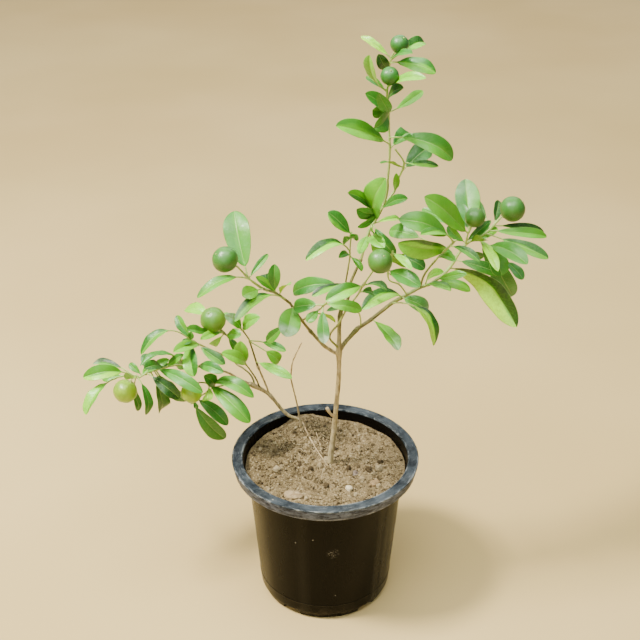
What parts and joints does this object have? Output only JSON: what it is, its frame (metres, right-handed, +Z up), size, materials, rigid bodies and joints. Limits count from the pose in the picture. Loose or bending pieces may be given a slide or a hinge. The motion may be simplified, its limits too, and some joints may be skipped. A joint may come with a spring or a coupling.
{
  "type": "potted china orange tree",
  "caption": "Young calamondin tree with glossy leaves and small unripe green fruit, growing in a round black plastic nursery pot of sandy soil.",
  "frame": {"origin": "centre of the pot's flat base, on the pot's own axis, at the level the pot stands on", "axes": "+Z up along the pot's axis, -Y towards the viewer, +X to the right, so the low second stem leans towards -X"},
  "size_m": [0.4884, 0.2255, 0.6277],
  "materials": {
    "pot_plastic": "satin",
    "sandy_soil": "matte",
    "stone": "matte",
    "bark": "matte",
    "dry_wood": "matte",
    "leaf": "satin",
    "fruit_peel": "satin"
  },
  "bodies": {
    "root": {"nursery_pot": "pot_plastic", "potting_soil": "sandy_soil", "stone_pale": "stone", "stone_tan_large": "stone", "stone_tan_small": "stone", "stone_grey": "stone", "trunk": "bark", "left_branch": "bark", "right_branch": "bark", "second_stem": "bark", "second_upper_stem": "bark", "far_left_stem": "bark", "dry_twig": "dry_wood", "left_low_shoot": "leaf", "left_inner_shoot": "leaf", "left_mid_shoot": "leaf", "left_tip_shoot": "leaf", "middle_twig_shoot": "leaf", "inner_left_low_shoot": "leaf", "inner_left_top_shoot": "leaf", "crown_low_shoot": "leaf", "crown_mid_shoot": "leaf", "crown_side_shoot": "leaf", "crown_high_shoot": "leaf", "crown_node_shoot": "leaf", "top_fruit_shoot": "leaf", "top_shoot": "leaf", "right_base_shoot": "leaf", "right_low_shoot": "leaf", "right_mid_shoot": "leaf", "middle_right_shoot": "leaf", "right_upper_shoot": "leaf", "right_fork_shoot": "leaf", "right_fruit_shoot": "leaf", "right_tip_shoot": "leaf", "right_hanging_shoot": "leaf", "second_leafy_shoot": "leaf", "second_tip_shoot": "leaf", "second_inner_shoot": "leaf", "left_fruit_shoot": "leaf", "far_upper_shoot": "leaf", "far_mid_shoot": "leaf", "far_left_shoot": "leaf", "far_tip_shoot": "leaf", "low_left_shoot": "leaf", "low_hanging_shoot": "leaf", "fruit_top": "fruit_peel", "fruit_below_top": "fruit_peel", "fruit_right_outer": "fruit_peel", "fruit_right_inner": "fruit_peel", "fruit_middle": "fruit_peel", "fruit_left_upper": "fruit_peel", "fruit_left_lower": "fruit_peel", "fruit_far_left": "fruit_peel", "fruit_low_left": "fruit_peel"}
  },
  "joints": []
}
